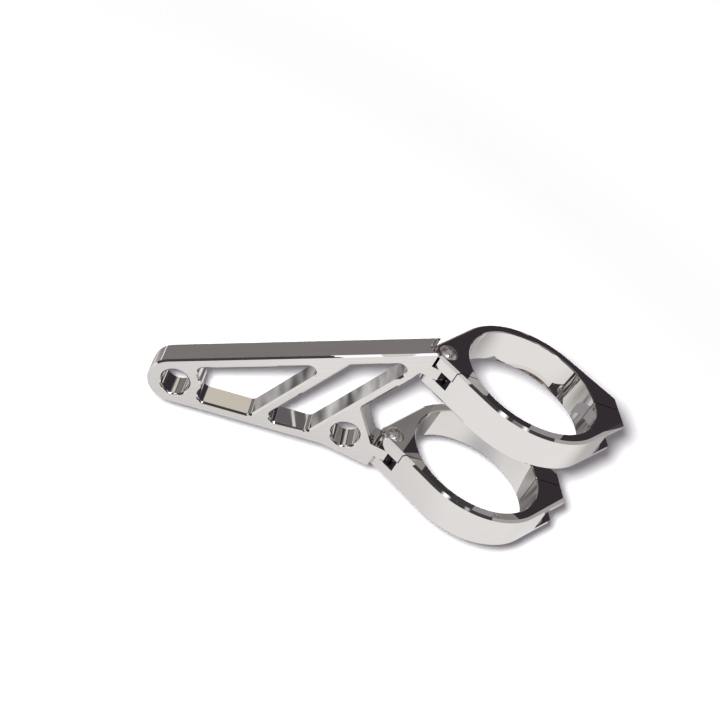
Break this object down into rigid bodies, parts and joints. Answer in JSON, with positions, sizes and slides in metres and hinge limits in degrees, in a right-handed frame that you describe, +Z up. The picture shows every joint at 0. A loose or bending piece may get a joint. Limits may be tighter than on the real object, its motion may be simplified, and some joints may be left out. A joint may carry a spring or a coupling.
{
  "type": "headlight mounting bracket",
  "caption": "Flat windowed arm for a headlight, hinged on split clamps that close round a fork tube.",
  "frame": {"origin": "on the fork tube's axis, at the middle of the lower clamp's height", "axes": "+Z up along the fork tube, arm's plate parallel to X and Z and reaching towards -X, outer face towards -Y"},
  "size_m": [0.129, 0.0478, 0.0558],
  "materials": {
    "arm_chrome": "polished chrome plate",
    "clamp_chrome": "polished chrome plate",
    "screw_chrome": "polished chrome plate"
  },
  "bodies": {
    "lower_clamp": {"lower_clamp_rear_half": "clamp_chrome", "lower_clamp_front_half": "clamp_chrome", "lower_knuckle_screw": "screw_chrome", "lower_pinch_screw": "screw_chrome"},
    "arm": {"arm": "arm_chrome"},
    "upper_clamp": {"upper_clamp_rear_half": "clamp_chrome", "upper_clamp_front_half": "clamp_chrome", "upper_knuckle_screw": "screw_chrome", "upper_pinch_screw": "screw_chrome"}
  },
  "joints": [
    {"name": "lower_knuckle", "type": "hinge", "parent": "lower_clamp", "child": "arm", "pos_m": [-0.02679, -0.00619, 0], "axis": [0, 0, 1], "range_deg": [-13, 39]},
    {"name": "upper_knuckle", "type": "hinge", "parent": "arm", "child": "upper_clamp", "pos_m": [-0.02679, -0.00619, 0.033], "axis": [0, 0, 1], "range_deg": [-39, 13]}
  ]
}
